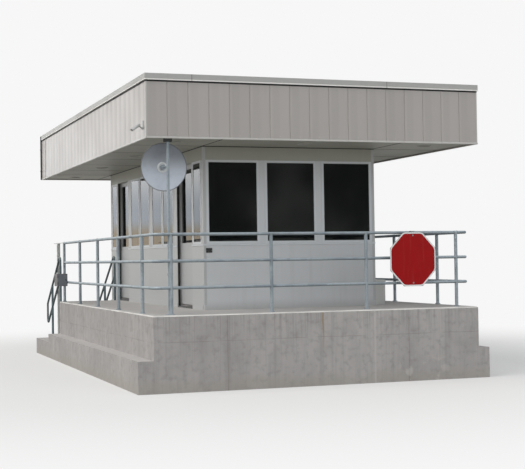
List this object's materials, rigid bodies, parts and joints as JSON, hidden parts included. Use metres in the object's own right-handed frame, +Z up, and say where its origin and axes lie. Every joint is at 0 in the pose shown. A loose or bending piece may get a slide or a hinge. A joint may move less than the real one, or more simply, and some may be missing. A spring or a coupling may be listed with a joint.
{
  "type": "security guard booth",
  "caption": "Glazed guard booth with two sliding doors under a deep flat canopy, on a raised concrete island with pipe railings, steps, a convex mirror and an octagonal sign.",
  "frame": {"origin": "on the ground under the middle of the whole outline", "axes": "+X to the right along the island's front face, +Y from the front to the back along the booth, +Z up"},
  "size_m": [5.152, 8.664, 4.215],
  "materials": {
    "concrete": "cast concrete with form marks",
    "wall_paint": "satin light grey",
    "frame_aluminium": "satin anodised",
    "window_glass": "tinted",
    "fascia_metal": "satin warm grey sheet",
    "trim_metal": "satin light grey",
    "roofing": "matt membrane",
    "soffit_metal": "matt light grey",
    "galvanised": "weathered zinc",
    "lamp_glass": "frosted white",
    "mirror_back": "smooth grey",
    "sign_face": "reflective sheet",
    "camera_case": "satin",
    "box_paint": "satin dark",
    "cabinet_paint": "satin pale grey",
    "steel_parts": "plain",
    "door_paint": "satin light grey"
  },
  "bodies": {
    "booth": {"back_railing": "galvanised", "booth_floor": "concrete", "control_box": "box_paint", "coping": "trim_metal", "corner_trims": "trim_metal", "door_thresholds": "steel_parts", "door_tracks": "steel_parts", "drip_trim": "trim_metal", "end_fascias": "fascia_metal", "end_headers": "wall_paint", "end_posts": "wall_paint", "end_wall_panels": "wall_paint", "equipment_cabinet": "cabinet_paint", "front_railing": "galvanised", "island": "concrete", "ledges": "concrete", "left_railing": "galvanised", "left_wall_panels": "wall_paint", "mirror": "mirror_back", "mirror_pole": "galvanised", "newel_post": "trim_metal", "pole_clamps": "galvanised", "rail_corners": "galvanised", "right_railing": "galvanised", "right_wall_panel": "wall_paint", "roof_deck": "roofing", "security_camera": "camera_case", "side_fascias": "fascia_metal", "side_headers": "wall_paint", "side_posts": "wall_paint", "sign_bracket": "galvanised", "soffit": "soffit_metal", "soffit_lights": "lamp_glass", "stair_flight": "concrete", "stair_rails": "galvanised", "stop_sign": "sign_face", "wall_plate": "box_paint", "window_frames": "frame_aluminium", "window_glass": "window_glass"},
    "front_door": {"front_door_leaf": "door_paint", "front_door_glass": "window_glass", "front_door_hangers": "steel_parts", "front_door_handles": "steel_parts"},
    "back_door": {"back_door_leaf": "door_paint", "back_door_glass": "window_glass", "back_door_hangers": "steel_parts", "back_door_handles": "steel_parts"}
  },
  "joints": [
    {"name": "front_door_slide", "type": "slide", "parent": "booth", "child": "front_door", "axis": [0, 1, 0], "range_m": [0, 0.8]},
    {"name": "back_door_slide", "type": "slide", "parent": "booth", "child": "back_door", "axis": [0, -1, 0], "range_m": [0, 0.8]}
  ]
}
